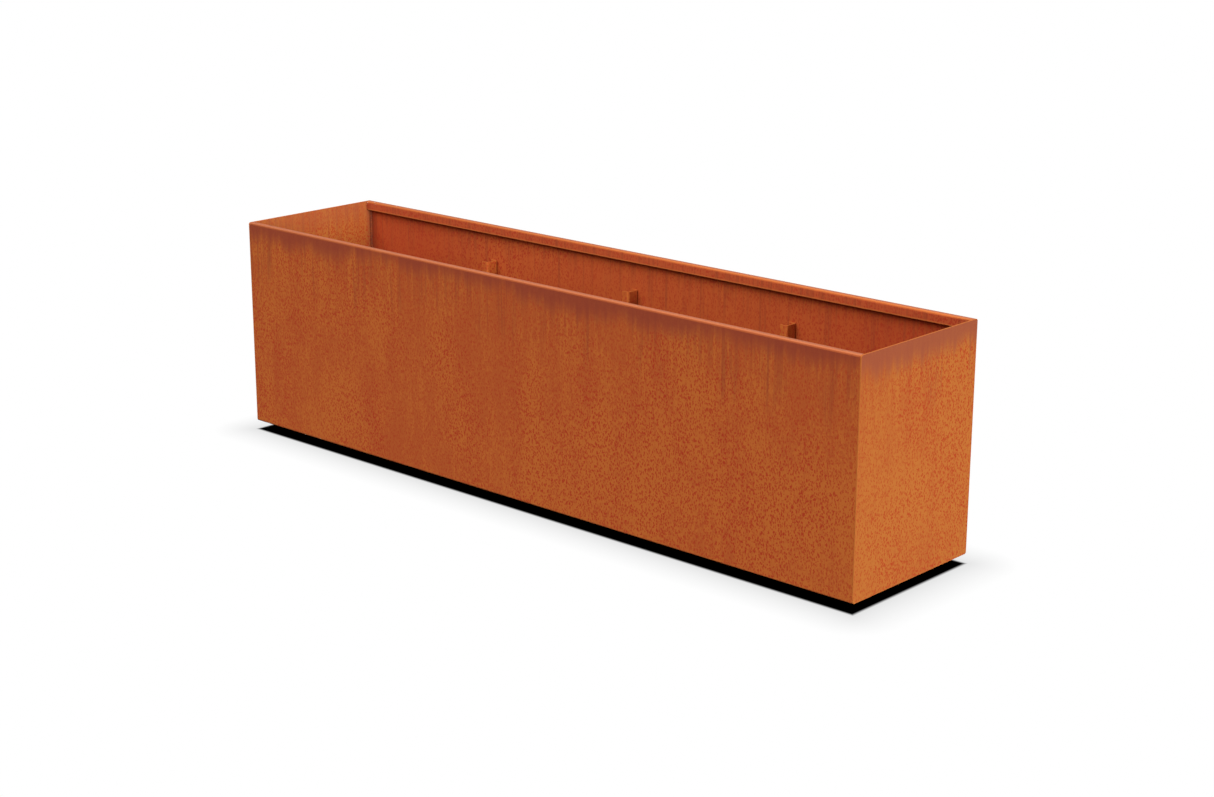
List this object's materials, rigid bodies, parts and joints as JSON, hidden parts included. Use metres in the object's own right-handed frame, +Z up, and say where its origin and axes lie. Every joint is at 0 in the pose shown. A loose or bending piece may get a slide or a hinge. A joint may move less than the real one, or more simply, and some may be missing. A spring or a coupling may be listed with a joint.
{
  "type": "planter box",
  "caption": "Long open-topped rectangular planter box in rusted weathering steel sheet, with folded-in rim lips, inside stiffening ribs, drain holes and set-back tube skids.",
  "frame": {"origin": "on the ground, under the middle of the box", "axes": "+X along the length, to the right seen from the front; -Y out of the front long wall; +Z up"},
  "size_m": [2.1336, 0.4572, 0.6096],
  "materials": {
    "outer_rust": "matte",
    "end_rust": "matte",
    "floor_rust": "matte",
    "rib_rust": "matte",
    "weld_rust": "matte",
    "skid_black": "satin"
  },
  "bodies": {
    "root": {"front_wall": "outer_rust", "back_wall": "outer_rust", "left_end_panel": "end_rust", "right_end_panel": "end_rust", "floor_panel": "floor_rust", "front_stiffener_1": "rib_rust", "back_stiffener_1": "rib_rust", "floor_channel_1": "rib_rust", "front_stiffener_2": "rib_rust", "back_stiffener_2": "rib_rust", "floor_channel_2": "rib_rust", "front_stiffener_3": "rib_rust", "back_stiffener_3": "rib_rust", "floor_channel_3": "rib_rust", "skid_1": "skid_black", "skid_2": "skid_black", "skid_3": "skid_black", "skid_4": "skid_black", "skid_5": "skid_black", "corner_weld_front_left": "weld_rust", "corner_weld_front_right": "weld_rust", "corner_weld_back_right": "weld_rust", "corner_weld_back_left": "weld_rust", "floor_weld_front": "weld_rust", "floor_weld_back": "weld_rust", "floor_weld_left": "weld_rust", "floor_weld_right": "weld_rust", "wall_stitch_front_1_lower": "weld_rust", "wall_stitch_front_1_upper": "weld_rust", "foot_weld_front_1": "weld_rust", "wall_stitch_back_1_lower": "weld_rust", "wall_stitch_back_1_upper": "weld_rust", "foot_weld_back_1": "weld_rust", "floor_channel_weld_1": "weld_rust", "wall_stitch_front_2_lower": "weld_rust", "wall_stitch_front_2_upper": "weld_rust", "foot_weld_front_2": "weld_rust", "wall_stitch_back_2_lower": "weld_rust", "wall_stitch_back_2_upper": "weld_rust", "foot_weld_back_2": "weld_rust", "floor_channel_weld_2": "weld_rust", "wall_stitch_front_3_lower": "weld_rust", "wall_stitch_front_3_upper": "weld_rust", "foot_weld_front_3": "weld_rust", "wall_stitch_back_3_lower": "weld_rust", "wall_stitch_back_3_upper": "weld_rust", "foot_weld_back_3": "weld_rust", "floor_channel_weld_3": "weld_rust", "skid_weld_front_1": "weld_rust", "skid_weld_back_1": "weld_rust", "skid_weld_front_2": "weld_rust", "skid_weld_back_2": "weld_rust", "skid_weld_front_3": "weld_rust", "skid_weld_back_3": "weld_rust", "skid_weld_front_4": "weld_rust", "skid_weld_back_4": "weld_rust", "skid_weld_front_5": "weld_rust", "skid_weld_back_5": "weld_rust"}
  },
  "joints": []
}
